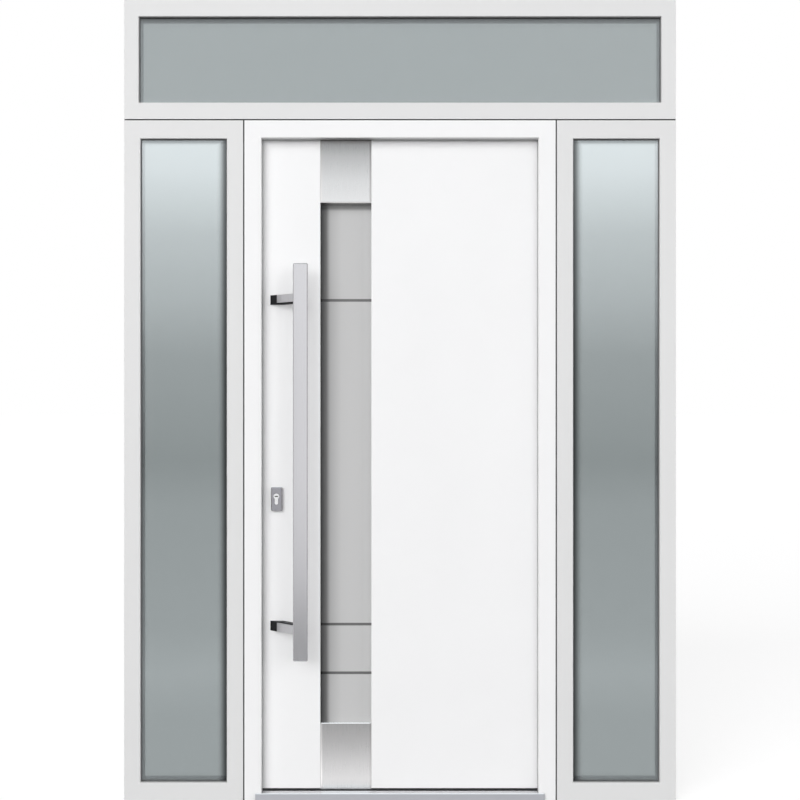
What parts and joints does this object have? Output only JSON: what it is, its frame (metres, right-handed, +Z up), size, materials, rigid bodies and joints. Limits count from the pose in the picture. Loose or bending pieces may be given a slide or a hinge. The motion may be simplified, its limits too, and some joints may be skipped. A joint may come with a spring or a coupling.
{
  "type": "entrance door with sidelights and transom",
  "caption": "White steel entrance door with a glazed slot, steel inlays and a long bar pull, in a frame with tall glazed sidelights on both sides and a glazed transom above.",
  "frame": {"origin": "middle of the threshold's underside: half way between the jambs across, half way through the frame's depth", "axes": "+X to the right seen from the street, +Y from the street side into the room, +Z up"},
  "size_m": [1.628, 0.2065, 2.363],
  "materials": {
    "grey_frame_paint": "light grey satin powder coat",
    "white_paint": "white satin powder coat",
    "tinted_glass": "grey-green tinted reflective glass",
    "satin_glass": "grey satin glass with clear cut lines",
    "black_rubber": "matt black",
    "threshold_aluminium": "natural anodised, ribbed tread",
    "liner_aluminium": "black anodised",
    "brushed_stainless": "brushed",
    "bright_nickel": "bright nickel plate",
    "black_plastic": "matt black",
    "core_foam": "dark insulating core"
  },
  "bodies": {
    "frame": {"left_sidelight_left_stile": "grey_frame_paint", "left_sidelight_right_stile": "grey_frame_paint", "left_sidelight_top_rail": "grey_frame_paint", "left_sidelight_bottom_rail": "grey_frame_paint", "left_sidelight_glass": "tinted_glass", "left_sidelight_gasket": "black_rubber", "left_sidelight_beads": "grey_frame_paint", "right_sidelight_left_stile": "grey_frame_paint", "right_sidelight_right_stile": "grey_frame_paint", "right_sidelight_top_rail": "grey_frame_paint", "right_sidelight_bottom_rail": "grey_frame_paint", "right_sidelight_glass": "tinted_glass", "right_sidelight_gasket": "black_rubber", "right_sidelight_beads": "grey_frame_paint", "transom_left_stile": "grey_frame_paint", "transom_right_stile": "grey_frame_paint", "transom_top_rail": "grey_frame_paint", "transom_bottom_rail": "grey_frame_paint", "transom_glass": "tinted_glass", "transom_gasket": "black_rubber", "transom_beads": "grey_frame_paint", "coupling_strips": "black_rubber", "door_frame_head": "white_paint", "door_frame_hinge_jamb": "white_paint", "door_frame_strike_jamb": "white_paint", "threshold": "threshold_aluminium", "door_seal": "black_rubber", "strike_plate": "brushed_stainless", "frame_hinge_halves": "brushed_stainless"},
    "leaf": {"leaf_outer_skin": "white_paint", "leaf_inner_skin": "white_paint", "leaf_core": "core_foam", "top_inlay_plate": "brushed_stainless", "bottom_inlay_plate": "brushed_stainless", "slot_liner": "liner_aluminium", "slot_glass": "satin_glass", "slot_inner_trim": "white_paint", "bottom_sweep": "black_rubber", "pull_bar": "brushed_stainless", "pull_brackets": "brushed_stainless", "pull_feet": "black_plastic", "cylinder_escutcheon": "brushed_stainless", "inside_backplate": "brushed_stainless", "lock_cylinder": "bright_nickel", "inside_lever": "brushed_stainless", "lock_faceplate": "brushed_stainless", "lock_bolts": "bright_nickel", "leaf_hinge_halves": "brushed_stainless"}
  },
  "joints": [
    {"name": "door_swing", "type": "hinge", "parent": "frame", "child": "leaf", "pos_m": [0.4265, 0.062, 0.99825], "axis": [0, 0, -1], "range_deg": [0, 110]}
  ]
}
